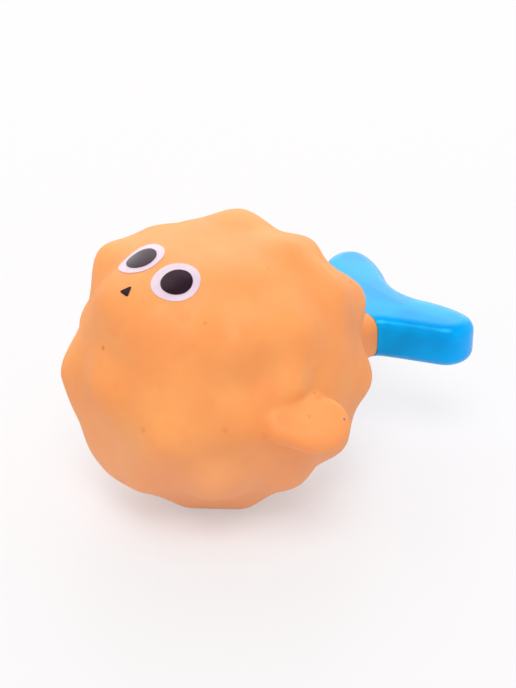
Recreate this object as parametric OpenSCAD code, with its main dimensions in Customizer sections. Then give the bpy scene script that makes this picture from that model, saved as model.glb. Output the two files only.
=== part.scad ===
// Squeaky bath toy: a round bumpy fish of soft vinyl with a plugged-on tail and a reed squeaker in its belly.
// The fish looks along -Y and stands on the plane z = 0. Its left side is +X, and all lengths are millimetres.

/* [Body] */
// Diameter of the ball that the bumps stand on
ball_d = 70.5; // [62:0.5:84]
// Thickness of the vinyl
wall = 2.2; // [1.8:0.1:3]
// Height of the tallest bump
bump_h = 5; // [2:0.5:7]
// Radius of the widest bump's foot
bump_r = 15; // [11:0.5:17]
// How much the flat of the belly takes off the lowest bump
belly_cut = 4.75; // [3.75:0.25:6]

/* [Flippers] */
// Half length of a flipper from its root to its tip, and the radius of its back end
flipper_reach = 7.2; // [6.4:0.1:8]
// Radius of a flipper's front end as a share of the back end's
flipper_front_share = 0.72; // [0.6:0.02:0.9]
// Half width of a flipper along the body
flipper_half_w = 10.9; // [9:0.1:12]
// Half thickness of a flipper
flipper_half_t = 5; // [4:0.1:6]
// Depth of the scoop in a flipper's outer face
scoop_depth = 1.4; // [0:0.1:2]
// How far a flipper's tip points forward, in degrees
flipper_lead = 15; // [5:1:25]
// How far a flipper droops, in degrees
flipper_droop = 35; // [25:1:45]
// How far a flipper's back end hangs, in degrees
flipper_hang = 9; // [0:1:15]

/* [Neck and tail] */
// Width of the neck and of the tail's root
neck_w = 20; // [17:0.5:22]
// Thickness of the neck and of the tail
tail_t = 12; // [10:0.2:12.4]
// Distance of the tail's middle plane below the ball's centre
tail_drop = 5.8; // [0:0.2:6.4]
// Distance of the tail's root from the ball's centre
tail_root = 44; // [42:0.5:46]
// Length of the tail behind its root
tail_l = 22; // [21:0.5:25]
// Span across the two lobes
tail_span = 52.5; // [50:0.5:57]
// Rounding of the tail's edges
tail_edge = 3.4; // [2:0.2:3.4]
// Length of the spigot that the tail is pushed on
spigot_l = 7; // [5:0.5:8]
// Wall of the tail around the spigot
socket_wall = 2.2; // [1.8:0.1:2.6]
// Wall of the hollow lobes
tail_wall = 2.2; // [1.8:0.1:2.4]
// Clearance around the spigot
spigot_gap = 0.3; // [0.2:0.05:0.4]

/* [Printed face] */
// Diameter of an eye's white
eye_d = 11.8; // [10:0.2:14]
// Diameter of a pupil
pupil_d = 7.7; // [6:0.2:9]
// Distance between the eyes' centres
eye_gap = 13.6; // [13:0.2:18]
// Width and height of the beak
beak_w = 3.2; // [2:0.1:5]
// Thickness of a layer of print
print_t = 0.25; // [0.2:0.05:0.4]
// Clearance between the print and the skin
print_gap = 0.15; // [0.1:0.05:0.3]

/* [Squeaker] */
// Diameter of the plug's barrel
plug_d = 12; // [11:0.2:14]
// Diameter of the plug's flange
flange_d = 16; // [15:0.2:18]
// Thickness of the flange
flange_t = 1.2; // [1:0.1:1.6]
// Length of the barrel above the flange
barrel_l = 16; // [15:0.5:20]
// Wall of the barrel
barrel_wall = 1.2; // [1:0.1:1.4]
// Diameter of the air hole in the plug's floor
air_hole_d = 3; // [2:0.1:4]
// Width of the reed
reed_w = 4.4; // [4:0.1:5]
// Thickness of the reed
reed_t = 0.3; // [0.2:0.05:0.4]
// Free length of the reed beyond its clamp
reed_free_l = 8; // [6:0.5:9]
// Width of the air channel in the trough
channel_w = 3; // [2:0.1:3.4]
// Depth of the air channel
channel_depth = 2.2; // [1:0.1:3]

/* [Hidden] */

vinyl_orange = "#f79a58";
gloss_blue = "#1793dd";
print_white = "#f1e6f0";
print_black = "#2b2227";
plug_white = "#e9e6dc";
reed_brass = "#c8a24a";

ball_r = ball_d / 2;
centre_h = ball_r + bump_h - belly_cut;
centre = [0, 0, centre_h];
overrun = wall;

// Steps along the fish and around it, for the skin and for the hollow inside
skin_steps = [48, 64];
hollow_steps = [22, 32];
flipper_steps = [16, 24];
round_steps = 64;
curve_steps = 4;
edge_steps = 8;
hollow_curve_steps = 2;
hollow_edge_steps = 4;

// Bumps on the ball: how far forward, to the side and up each one points, then its height and its foot as
// shares of the tallest and the widest. One off the middle plane has a twin on the other side.
bump_shares = [
    [0, 0, -1, 1, 1.4],
    [-0.02, 0, 1, -0.5, 1.3],
    [0.12, 0.94, 0.29, 0.8, 0.6],
    [0.76, 0.17, 0.62, 0.85, 0.95],
    [0.54, 0.2, 0.84, 0.3, 1],
    [0.4, 0.7, 0.6, 1, 0.85],
    [-0.42, 0.28, 0.86, 0.6, 0.75],
    [-0.79, 0, 0.61, 0.6, 0.65],
    [0, 0.81, 0.58, 0.7, 0.9],
    [-0.58, 0.55, 0.6, 0.6, 0.85],
    [-0.88, 0.36, 0.34, 1, 0.9],
    [-0.74, 0.66, -0.12, 0.75, 0.85],
    [0.85, 0.52, -0.06, 0.85, 0.9],
    [0.86, 0.36, -0.36, 0.5, 0.8],
    [0.45, 0.88, 0.08, 0.6, 0.85],
    [0.97, 0, 0.12, 0.5, 0.8],
    [0.8, 0.17, -0.57, 0.85, 0.9],
    [0.55, 0.68, -0.48, 0.7, 0.85],
    [-0.02, 0.82, -0.57, 0.6, 0.85],
    [-0.49, 0.7, -0.52, 0.75, 0.8],
    [-0.8, 0.2, -0.57, 0.7, 0.85],
    [0.16, 0.5, -0.85, 0.6, 0.8],
    [0.45, 0.22, -0.86, 0.6, 0.9],
    [-0.4, 0.36, -0.84, 0.5, 0.8]
];

// Flipper: its middle lies a little off the ball, ahead of and above the ball's own middle, and its front
// end lies nearer to the body than the rest
flipper_out = 3.4;
flipper_ahead = 2.9;
flipper_high = 0.9;
flipper_front_in = 0.8;
// Where the scoop faces, towards the tip, backward and up from the flipper's face, and how wide it is
scoop_facing_shares = [0.1, 0, 1];
scoop_spread_share = 0.95;

// Tail outline behind the root, as shares of the half span and of the length
tail_outline_shares = [
    [0.49, 0.1], [0.72, 0.3], [0.91, 0.47], [0.98, 0.61], [0.99, 0.77], [0.93, 0.91],
    [0.81, 0.98], [0.62, 0.96], [0.4, 0.87], [0.2, 0.76], [0, 0.72]
];
tail_nose = 0.5;
tail_crown = 0.3;
tail_middle_share = 0.33;
tail_inner_share = 0.5;
least_round = 0.6;
tail_z = centre_h - tail_drop;
neck_from = ball_r / 2;
bead_h = 0.6;
bead_l = 1.4;
bead_from_end = 1.2;
spigot_corner_share = 0.3;

// Print: the heights of the eyes and the beak as shares of the ball's radius
eye_height_share = 0.85;
beak_height_share = 0.72;
print_steps = 36;
print_rings = 3;
layer_gap = 0.05;
beak_corner_share = 0.17;
beak_reach_share = 0.38;
beak_corner_turn = 50;

// Belly and squeaker
belly_t = 3.2;
flange_lift = 0.2;
plug_gap = 0.1;
barb_h = 0.8;
barb_l = 2.4;
floor_t = 1.2;
flange_top = flange_lift + flange_t;
plug_floor = flange_lift + floor_t;
plug_top = flange_top + barrel_l;
bore_d = plug_d - 2 * barrel_wall;
seat_gap = 0.05;
clamp_l = 4;
reed_root_l = 1.5;
reed_gap = 0.15;
reed_z = plug_floor + clamp_l;
reed_top = reed_z + reed_free_l;
trough_rim = 1;
lay_deg = 2.5;

function unit(v) = v / norm(v);
function smooth(x) = let (t = max(0, min(1, x))) t * t * (3 - 2 * t);
function flat(lists) = [for (list = lists) each list];

// Each bump, with the twins written out
function twins(row) = row[1] == 0 ? [row] : [row, [row[0], -row[1], row[2], row[3], row[4]]];
bumps = flat([for (row = bump_shares) twins(row)]);
bump_ways = [for (row = bumps) unit([row[1], -row[0], row[2]])];

// A point of the skin in direction way, moved out from the ball by lift
function bump_push(way) =
    [for (i = [0:len(bumps) - 1])
        bump_h * bumps[i][3] * smooth(1 - ball_r * norm(way - bump_ways[i]) / (bump_r * bumps[i][4]))]
    * bump_ways;
function skin_point(way, lift = 0) = way * (ball_r + lift) + bump_push(way);

// Direction at one step from the nose to the tail and one step around
function grid_way(along, around) = [sin(along) * sin(around), -cos(along), sin(along) * cos(around)];
function grid_ways(steps) = concat(
    [[0, -1, 0]],
    [for (k = [1:steps[0] - 1]) for (i = [0:steps[1] - 1])
        grid_way(180 * k / steps[0], 360 * i / steps[1])],
    [[0, 1, 0]]
);

// Triangles of a closed shape made of a first point, rings of points and a last point
function ring_index(ring, i, around) = 1 + (ring - 1) * around + i % around;
function grid_faces(rings, around) = let (last = 1 + rings * around) concat(
    [for (i = [0:around - 1]) [0, ring_index(1, i, around), ring_index(1, i + 1, around)]],
    flat([for (k = [1:rings - 1]) for (i = [0:around - 1]) let (
        a = ring_index(k, i, around), b = ring_index(k, i + 1, around),
        c = ring_index(k + 1, i, around), d = ring_index(k + 1, i + 1, around)
    ) i < around / 2 ? [[a, c, d], [a, d, b]] : [[a, c, b], [b, c, d]]]),
    [for (i = [0:around - 1]) [last, ring_index(rings, i + 1, around), ring_index(rings, i, around)]]
);

module skin_solid() {
    points = [for (way = grid_ways(skin_steps)) centre + skin_point(way)];
    polyhedron(points, grid_faces(skin_steps[0] - 1, skin_steps[1]), convexity = 4);
}

// The hollow follows the skin at the wall's thickness and has a flat floor around the plug
module hollow_solid() {
    points = [for (way = grid_ways(hollow_steps)) let (p = centre + skin_point(way, -wall))
        [p.x, p.y, max(p.z, belly_t)]];
    polyhedron(points, grid_faces(hollow_steps[0] - 1, hollow_steps[1]), convexity = 4);
}

// Flipper on the fish's left: a flat pad with round ends, the front one smaller, and a scoop in its outer face
module flipper_solid() {
    facing = unit(scoop_facing_shares);
    flatten = flipper_half_t / flipper_reach;
    scoop = scoop_depth / flatten;
    points = [for (way = grid_ways(flipper_steps)) let (
        p = flipper_reach * way - scoop * smooth(1 - norm(way - facing) / scoop_spread_share) * facing,
        side = sign(way.y),
        share = side < 0 ? flipper_front_share : 1,
        shift = side < 0 ? flipper_front_in : 0
    ) [p.x * share - shift, p.y * share + side * (flipper_half_w - share * flipper_reach), p.z * flatten]];
    translate([ball_r + flipper_out, -flipper_ahead, centre_h + flipper_high])
    rotate([0, flipper_droop, -flipper_lead])
    rotate([0, 0, -flipper_hang])
    polyhedron(points, grid_faces(flipper_steps[0] - 1, flipper_steps[1]), convexity = 4);
}

// Bar with rounded corners, lying across the fish and running back from y = from to y = to
module cross_bar(from, to, width, height, corner) {
    translate([0, to, tail_z])
    rotate([90, 0, 0])
    linear_extrude(to - from) {
        square([width - 2 * corner, height], center = true);
        square([width, height - 2 * corner], center = true);
        for (x = [-1, 1], y = [-1, 1])
            translate([x * (width / 2 - corner), y * (height / 2 - corner)])
            circle(corner, $fn = round_steps);
    }
}

// Spigot behind the neck with its snap bead, grown by gap to cut the tail's socket
module spigot(gap) {
    width = neck_w - 2 * socket_wall;
    height = tail_t - 2 * socket_wall;
    corner = height * spigot_corner_share;
    end = tail_root + spigot_l;
    bead_end = end - bead_from_end;
    cross_bar(tail_root - overrun, end + gap, width + 2 * gap, height + 2 * gap, corner + gap);
    cross_bar(
        bead_end - bead_l - gap, bead_end + gap,
        width + 2 * (bead_h + gap), height + 2 * (bead_h + gap), corner + bead_h + gap
    );
}

module body_shell() {
    color(vinyl_orange)
    difference() {
        union() {
            difference() {
                union() {
                    skin_solid();
                    flipper_solid();
                    mirror([1, 0, 0]) flipper_solid();
                    cross_bar(neck_from, tail_root - spigot_gap, neck_w, tail_t, tail_edge);
                }
                hollow_solid();
            }
            spigot(0);
        }
        translate([-ball_d, -ball_d, -ball_d]) cube([2 * ball_d, 2 * ball_d, ball_d]);
        translate([0, 0, -overrun]) cylinder(h = overrun + flange_top, d = flange_d + 2 * plug_gap, $fn = round_steps);
        translate([0, 0, -overrun]) cylinder(h = 2 * overrun + belly_t, d = plug_d + 2 * plug_gap, $fn = round_steps);
    }
}

// Half outline with a round nose ahead of the root, then the mirrored half, joined by a smooth closed curve
half_outline = concat(
    [for (turn = [0:30:90])
        [neck_w / 2 * sin(turn), tail_root - tail_nose - neck_w / 2 * cos(turn)]],
    [for (s = tail_outline_shares) [s[0] * tail_span / 2, tail_root + s[1] * tail_l]]
);
outline_corners = concat(
    half_outline,
    [for (i = [len(half_outline) - 2:-1:1]) [-half_outline[i].x, half_outline[i].y]]
);
function between(p, q, r, s, t) =
    0.5 * (2 * q + (r - p) * t + (2 * p - 5 * q + 4 * r - s) * t * t + (3 * q - p - 3 * r + s) * t * t * t);
function closed_curve(points, steps) = let (n = len(points)) [for (i = [0:n - 1]) for (k = [0:steps - 1])
    between(points[(i + n - 1) % n], points[i], points[(i + 1) % n], points[(i + 2) % n], k / steps)];
function outward(points) = let (n = len(points)) [for (i = [0:n - 1])
    let (along = points[(i + 1) % n] - points[(i + n - 1) % n]) unit([along.y, -along.x])];

// Fluke with rounded edges and a slight crown, set in by inset all round, before its root is cut flat
module fluke_solid(inset, around_steps, rim_steps) {
    outline = closed_curve(outline_corners, around_steps);
    out = outward(outline);
    middle = [0, tail_root + tail_middle_share * tail_l];
    round_r = max(tail_edge - inset, least_round);
    half_t = tail_t / 2 - inset;
    edge_rings = [for (k = [0:rim_steps]) let (turn = -90 + 180 * k / rim_steps)
        [inset + round_r * (1 - cos(turn)), 1, sign(turn) * (half_t - round_r) + round_r * sin(turn)]];
    inner_z = half_t + tail_crown;
    inner = [inset + round_r, tail_inner_share];
    rings = concat([[each inner, -inner_z]], edge_rings, [[each inner, inner_z]]);
    points = concat(
        [[middle.x, middle.y, -inner_z]],
        [for (ring = rings) for (i = [0:len(outline) - 1])
            let (p = middle + (outline[i] - ring[0] * out[i] - middle) * ring[1]) [p.x, p.y, ring[2]]],
        [[middle.x, middle.y, inner_z]]
    );
    translate([0, 0, tail_z])
    polyhedron(points, grid_faces(len(rings), len(outline)), convexity = 6);
}

// Block that fills the root up to y = to
module root_block(to) {
    translate([-neck_w, to - 2 * neck_w, tail_z - tail_t]) cube([2 * neck_w, 2 * neck_w, 2 * tail_t]);
}

// The tail is hollow behind its socket, so that the fish doesn't tip back
module tail() {
    color(gloss_blue)
    difference() {
        fluke_solid(0, curve_steps, edge_steps);
        root_block(tail_root);
        spigot(spigot_gap);
        difference() {
            fluke_solid(tail_wall, hollow_curve_steps, hollow_edge_steps);
            root_block(tail_root + spigot_l);
        }
    }
}

// Layer of print that follows the skin around direction facing, from lift to lift + print_t above it
module print_layer(facing, outline, lift) {
    across = unit(cross(facing, [0, 1, 0]));
    along = cross(across, facing);
    n = len(outline);
    function at(p, height) = let (way = unit(ball_r * facing + p.x * across + p.y * along))
        centre + skin_point(way, height);
    points = concat(
        [at([0, 0], lift)],
        [for (k = [1:print_rings]) for (p = outline) at(k / print_rings * p, lift)],
        [for (k = [print_rings:-1:1]) for (p = outline) at(k / print_rings * p, lift + print_t)],
        [at([0, 0], lift + print_t)]
    );
    polyhedron(points, grid_faces(2 * print_rings, n), convexity = 4);
}

function disc(d, steps) = [for (i = [0:steps - 1]) d / 2 * [cos(360 * i / steps), sin(360 * i / steps)]];
function eye_way(side) = let (x = side * eye_gap / 2 / ball_r)
    [x, -sqrt(1 - x * x - eye_height_share * eye_height_share), eye_height_share];
beak_way = [0, -sqrt(1 - beak_height_share * beak_height_share), beak_height_share];

module eye_white(side) {
    color(print_white)
    print_layer(eye_way(side), disc(eye_d, print_steps), print_gap);
}

module pupil(side) {
    color(print_black)
    print_layer(eye_way(side), disc(pupil_d, print_steps), print_gap + print_t + layer_gap);
}

// Triangle with rounded corners, its point towards the eyes
module beak() {
    corner = beak_w * beak_corner_share;
    reach = beak_w * beak_reach_share;
    outline = [for (turn = [90, 210, 330]) for (k = [-1, 0, 1])
        let (side = turn + beak_corner_turn * k)
        reach * [cos(turn), sin(turn)] + corner * [cos(side), sin(side)]];
    color(print_black)
    print_layer(beak_way, outline, print_gap);
}

module squeaker_plug() {
    color(plug_white)
    difference() {
        rotate_extrude($fn = round_steps)
        polygon([
            [0, flange_lift], [flange_d / 2, flange_lift], [flange_d / 2, flange_top - plug_gap],
            [plug_d / 2, flange_top - plug_gap], [plug_d / 2, belly_t + plug_gap],
            [plug_d / 2 + barb_h, belly_t + plug_gap], [plug_d / 2, belly_t + plug_gap + barb_l],
            [plug_d / 2, plug_top], [0, plug_top]
        ]);
        translate([0, 0, plug_floor]) cylinder(h = plug_top, d = bore_d, $fn = round_steps);
        translate([0, 0, -overrun]) cylinder(h = plug_top, d = air_hole_d, $fn = round_steps);
    }
}

// Half of a round bar that fills the plug's bore, behind or in front of the plane y = 0
module half_bar(side, from, to) {
    intersection() {
        translate([0, 0, from]) cylinder(h = to - from, d = bore_d - 2 * seat_gap, $fn = round_steps);
        translate([-plug_d, side < 0 ? -plug_d : 0, 0]) cube([2 * plug_d, plug_d, 2 * plug_top]);
    }
}

// The reed closes on the trough's lay, which leans away from it above the clamp
module reed_trough() {
    color(plug_white)
    difference() {
        half_bar(-1, plug_floor + seat_gap, reed_top + trough_rim);
        translate([-channel_w / 2, -channel_depth, 0])
        cube([channel_w, channel_depth + overrun, reed_top - trough_rim]);
        translate([-plug_d, 0, reed_z]) rotate([lay_deg, 0, 0]) cube([2 * plug_d, plug_d, plug_top]);
    }
}

module reed_clamp() {
    color(plug_white)
    difference() {
        half_bar(1, plug_floor + seat_gap, reed_z);
        translate([-reed_w / 2 - reed_gap, -overrun, reed_z - reed_root_l - reed_gap])
        cube([reed_w + 2 * reed_gap, overrun + reed_t + 2 * reed_gap, plug_top]);
    }
}

module reed() {
    color(reed_brass)
    translate([-reed_w / 2, reed_gap, reed_z - reed_root_l]) cube([reed_w, reed_t, reed_root_l + reed_free_l]);
}

body_shell();
tail();
eye_white(1);  // eye_white_left
eye_white(-1);  // eye_white_right
pupil(1);  // pupil_left
pupil(-1);  // pupil_right
beak();
squeaker_plug();
reed_trough();
reed_clamp();
reed();
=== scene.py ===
"""Squeaky bath toy: the looks of a round, bumpy vinyl fish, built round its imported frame.

The fish looks along -Y and stands on z = 0. Sizes are written in millimetres and turned to metres by MM.
"""

import logging
import math
from contextlib import contextmanager
from dataclasses import dataclass, field
from enum import Enum
from typing import Callable, Iterator

import bmesh
import bpy
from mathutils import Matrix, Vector, kdtree

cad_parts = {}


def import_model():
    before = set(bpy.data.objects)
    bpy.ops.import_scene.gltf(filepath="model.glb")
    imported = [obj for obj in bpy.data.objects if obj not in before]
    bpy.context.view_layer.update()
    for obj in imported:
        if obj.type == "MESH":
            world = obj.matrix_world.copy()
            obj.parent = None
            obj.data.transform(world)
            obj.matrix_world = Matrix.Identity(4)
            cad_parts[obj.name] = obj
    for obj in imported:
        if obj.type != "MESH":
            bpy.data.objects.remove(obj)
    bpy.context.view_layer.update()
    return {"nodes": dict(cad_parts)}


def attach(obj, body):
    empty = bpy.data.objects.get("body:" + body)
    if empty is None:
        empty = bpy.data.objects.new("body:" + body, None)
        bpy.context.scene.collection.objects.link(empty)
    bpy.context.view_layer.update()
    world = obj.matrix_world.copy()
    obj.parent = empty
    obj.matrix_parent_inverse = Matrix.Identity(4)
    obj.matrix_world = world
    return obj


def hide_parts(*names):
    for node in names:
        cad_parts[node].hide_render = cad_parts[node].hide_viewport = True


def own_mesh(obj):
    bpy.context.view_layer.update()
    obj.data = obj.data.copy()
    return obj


LOG = logging.getLogger("bath_toy")
MM = 0.001
TINY = 0.001 * MM
# Two directions count as parallel from this cosine up
PARALLEL = 0.9
# Steps that round off a corner
CORNER_STEPS = 6
# Faces that meet at a sharper angle than this keep a crease
CREASE = math.radians(40)


# Modelling helpers


class Axis(Enum):
    """Directions that bars run in and pieces are cut across."""

    Y = Vector((0, 1, 0))
    Z = Vector((0, 0, 1))


class Element(Enum):
    """What is selected in edit mode, and where the edit mesh keeps it."""

    VERT = "verts"
    EDGE = "edges"
    FACE = "faces"


def deselect_all() -> None:
    """Deselect every object."""
    bpy.ops.object.select_all(action="DESELECT")


def make_active(piece: bpy.types.Object) -> None:
    """Select one piece alone and make it the active one.

    Args:
        piece: the object to select.
    """
    deselect_all()
    piece.select_set(True)
    bpy.context.view_layer.objects.active = piece


@contextmanager
def editing(piece: bpy.types.Object, kind: Element = Element.VERT) -> Iterator[bmesh.types.BMesh]:
    """Open a piece in edit mode with nothing selected.

    Args:
        piece: the mesh object to edit.
        kind: what is selected from then on.

    Yields:
        The edit mesh, for selecting by place.
    """
    make_active(piece)
    bpy.ops.object.mode_set(mode="EDIT")
    bpy.ops.mesh.select_mode(type=kind.name)
    bpy.ops.mesh.select_all(action="DESELECT")
    mesh = bmesh.from_edit_mesh(piece.data)
    mesh.verts.ensure_lookup_table()
    yield mesh
    bpy.ops.object.mode_set(mode="OBJECT")


def select_where(
    piece: bpy.types.Object, mesh: bmesh.types.BMesh, kind: Element, test: Callable[[Vector], bool]
) -> None:
    """Select the vertices or faces of an edit mesh by place, and nothing else.

    Args:
        piece: the object in edit mode.
        mesh: its edit mesh.
        kind: VERT or FACE.
        test: says for a vertex, or for a face's middle, whether it is selected.
    """
    for vert in mesh.verts:
        vert.select = False
    mesh.select_flush(False)
    for element in getattr(mesh, kind.value):
        if test(element.co if kind is Element.VERT else element.calc_center_median()):
            element.select_set(True)
    mesh.select_flush_mode()
    bmesh.update_edit_mesh(piece.data)


def settle(piece: bpy.types.Object) -> None:
    """Bring a piece's place, turn and scale into its mesh.

    Args:
        piece: the object to settle at the origin.
    """
    make_active(piece)
    bpy.ops.object.transform_apply(location=True, rotation=True, scale=True)


def finish_with(piece: bpy.types.Object, kind: str, **settings: object) -> None:
    """Add a modifier to a piece, set it and apply it.

    Args:
        piece: the object to change.
        kind: Blender's name for the modifier's type.
        **settings: the modifier's own settings.
    """
    make_active(piece)
    modifier = piece.modifiers.new(kind.title(), kind)
    for name, value in settings.items():
        setattr(modifier, name, value)
    bpy.ops.object.modifier_apply(modifier=modifier.name)


def join(name: str, *pieces: bpy.types.Object) -> bpy.types.Object:
    """Join pieces into one object.

    Args:
        name: the joined object's name.
        *pieces: the objects to join; the first one stays.

    Returns:
        The joined object.
    """
    make_active(pieces[0])
    for piece in pieces[1:]:
        piece.select_set(True)
    bpy.ops.object.join()
    pieces[0].name = name
    pieces[0].data.name = name
    return pieces[0]


def cut_away(piece: bpy.types.Object, *cutters: bpy.types.Object) -> None:
    """Cut other solids out of a piece and delete them.

    Args:
        piece: the object that is cut.
        *cutters: the solids to take away.
    """
    for cutter in cutters:
        finish_with(piece, "BOOLEAN", operation="DIFFERENCE", object=cutter, solver="EXACT")
        bpy.data.objects.remove(cutter)


def rounded_bar(name: str, low: Vector, high: Vector, corner: float, axis: Axis) -> bpy.types.Object:
    """Make a bar with rounded long edges.

    Args:
        name: the bar's name.
        low: its lowest corner.
        high: its highest corner.
        corner: the radius of its long edges.
        axis: the direction it runs in.

    Returns:
        The bar.
    """
    deselect_all()
    bpy.ops.mesh.primitive_cube_add(size=1, location=(low + high) / 2, scale=high - low)
    bar = bpy.context.object
    bar.name = name
    settle(bar)
    with editing(bar, Element.EDGE) as mesh:
        for edge in mesh.edges:
            along = (edge.verts[1].co - edge.verts[0].co).normalized()
            edge.select_set(abs(along.dot(axis.value)) > PARALLEL)
        mesh.select_flush_mode()
        bmesh.update_edit_mesh(bar.data)
        bpy.ops.mesh.bevel(offset=corner, offset_type="OFFSET", segments=CORNER_STEPS, affect="EDGES")
    return bar


def drum(name: str, radius: float, low: float, high: float, sides: int = 96) -> bpy.types.Object:
    """Make an upright round solid on the toy's middle line.

    Args:
        name: its name.
        radius: its radius.
        low: the height of its lower end.
        high: the height of its upper end.
        sides: how many sides stand for the circle.

    Returns:
        The solid.
    """
    deselect_all()
    bpy.ops.mesh.primitive_cylinder_add(
        vertices=sides, radius=radius, depth=high - low, location=(0, 0, (low + high) / 2)
    )
    solid = bpy.context.object
    solid.name = name
    settle(solid)
    return solid


def cut_off(piece: bpy.types.Object, start: float, axis: Axis) -> None:
    """Cut off what lies before a plane, and close the cut with a face.

    Args:
        piece: the closed object to cut.
        start: where the plane crosses the axis.
        axis: the direction that the plane faces.
    """
    with editing(piece, Element.FACE):
        bpy.ops.mesh.select_all(action="SELECT")
        bpy.ops.mesh.bisect(
            plane_co=axis.value * start, plane_no=axis.value, use_fill=True, clear_inner=True, threshold=TINY
        )


def shade(piece: bpy.types.Object, crease: float = CREASE) -> None:
    """Shade a piece smooth.

    Args:
        piece: the object to shade.
        crease: the angle from which faces keep a crease between them.
    """
    make_active(piece)
    bpy.ops.object.shade_smooth_by_angle(angle=crease)


def report(piece: bpy.types.Object) -> None:
    """Log a finished piece and its faces."""
    LOG.info("%s has %d faces", piece.name, len(piece.data.polygons))


# Finishes


def linear(code: str) -> tuple[float, float, float, float]:
    """Turn an sRGB hex colour into Blender's linear one.

    Args:
        code: six hex digits after a #.

    Returns:
        Red, green, blue and alpha.
    """
    # The sRGB curve is straight near black and a power above it
    shares = [int(code[i:i + 2], 16) / 255 for i in (1, 3, 5)]
    return (*[s / 12.92 if s <= 0.04045 else ((s + 0.055) / 1.055) ** 2.4 for s in shares], 1.0)


def add_node(
    tree: bpy.types.NodeTree, kind: str, inputs: dict[str | int, object] | None = None, **settings: object
) -> bpy.types.Node:
    """Add a node to a tree with its settings, values and links.

    Args:
        tree: the material's or world's node tree.
        kind: the node's type name without the ShaderNode in front.
        inputs: socket name or number to a value, or to the output socket that feeds it.
        **settings: the node's own settings.

    Returns:
        The node.
    """
    node = tree.nodes.new("ShaderNode" + kind)
    for name, value in settings.items():
        setattr(node, name, value)
    for key, value in (inputs or {}).items():
        socket = node.inputs[key]
        if isinstance(value, bpy.types.NodeSocket):
            tree.links.new(value, socket)
        else:
            socket.default_value = value
    return node


def blank_material(name: str) -> tuple[bpy.types.Material, bpy.types.NodeTree]:
    """Make a material whose tree holds nothing yet.

    Args:
        name: the material's name.

    Returns:
        The material and its node tree.
    """
    material = bpy.data.materials.new(name)
    material.use_nodes = True
    material.node_tree.nodes.clear()
    return material, material.node_tree


def lay_over(
    tree: bpy.types.NodeTree, under: bpy.types.NodeSocket | tuple[float, ...], over: str,
    value: bpy.types.NodeSocket, start: float, full: float, strength: float = 1.0,
) -> bpy.types.NodeSocket:
    """Lay one colour over another where a value lies beyond a limit, with a soft edge.

    Args:
        tree: the material's node tree.
        under: the colour below, linear.
        over: the sRGB hex colour above.
        value: the value.
        start: where the upper colour begins to show.
        full: where it has its full strength.
        strength: how much it hides there.

    Returns:
        The mixed colour.
    """
    share = add_node(
        tree, "MapRange", {"Value": value, "From Min": start, "From Max": full, "To Max": strength},
        interpolation_type="SMOOTHSTEP",
    ).outputs["Result"]
    # A Mix node of colours has them at sockets 6 and 7, and the mixed one at 2
    return add_node(tree, "Mix", {0: share, 6: under, 7: linear(over)}, data_type="RGBA").outputs[2]


@dataclass(frozen=True)
class Clouds:
    """Soft patches in which a second colour shows.

    Attributes:
        size_mm: how far they lie apart, in millimetres.
        start: the noise at which the second colour begins to show.
        full: the noise from which it hides the first.
        detail: how many finer layers they have.
        roughness: how strong those layers are.
    """

    size_mm: float
    start: float
    full: float
    detail: float = 2.0
    roughness: float = 0.5

    def lay(
        self, tree: bpy.types.NodeTree, place: bpy.types.NodeSocket,
        under: bpy.types.NodeSocket | tuple[float, ...], over: str,
    ) -> tuple[bpy.types.NodeSocket, bpy.types.NodeSocket]:
        """Lay one colour over another in patches.

        Args:
            tree: the material's node tree.
            place: the Object coordinates.
            under: the colour below, linear.
            over: the sRGB hex colour above.

        Returns:
            The mixed colour, and the noise that the patches follow.
        """
        noise = add_node(
            tree, "TexNoise",
            {
                "Vector": place, "Scale": 1 / (self.size_mm * MM),
                "Detail": self.detail, "Roughness": self.roughness,
            },
        ).outputs[0]
        return lay_over(tree, under, over, noise, self.start, self.full), noise


@dataclass(frozen=True)
class Relief:
    """Unevenness that is too low for a mesh.

    Attributes:
        size_mm: how far its bumps lie apart, in millimetres.
        height_mm: how high they are, in millimetres.
        strength: how much of that height shows.
    """

    size_mm: float
    height_mm: float
    strength: float

    def normal(self, tree: bpy.types.NodeTree, place: bpy.types.NodeSocket) -> bpy.types.NodeSocket:
        """Tilt the surface with the bumps.

        Args:
            tree: the material's node tree.
            place: the Object coordinates.

        Returns:
            The tilted normal.
        """
        bumps = add_node(
            tree, "TexNoise", {"Vector": place, "Scale": 1 / (self.size_mm * MM), "Detail": 1.0}
        ).outputs[0]
        return add_node(
            tree, "Bump", {"Height": bumps, "Strength": self.strength, "Distance": self.height_mm * MM}
        ).outputs[0]


@dataclass(frozen=True)
class Fleck:
    """A small round mark laid over a skin's colour.

    Attributes:
        place: its middle on the toy, in millimetres.
        radius: its radius in millimetres.
        colour: its sRGB hex colour.
        strength: how much of the skin it hides.
        core_share: how much of its radius has that strength.
    """

    place: tuple[float, float, float]
    radius: float
    colour: str
    strength: float = 0.8
    core_share: float = 0.4

    def lay(
        self, tree: bpy.types.NodeTree, place: bpy.types.NodeSocket, under: bpy.types.NodeSocket
    ) -> bpy.types.NodeSocket:
        """Lay the speck over a colour.

        Args:
            tree: the material's node tree.
            place: the Object coordinates.
            under: the colour below.

        Returns:
            The mixed colour.
        """
        away = add_node(
            tree, "VectorMath", {0: place, 1: Vector(self.place) * MM}, operation="DISTANCE"
        ).outputs["Value"]
        edge = self.radius * MM
        return lay_over(tree, under, self.colour, away, edge, self.core_share * edge, self.strength)
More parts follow.
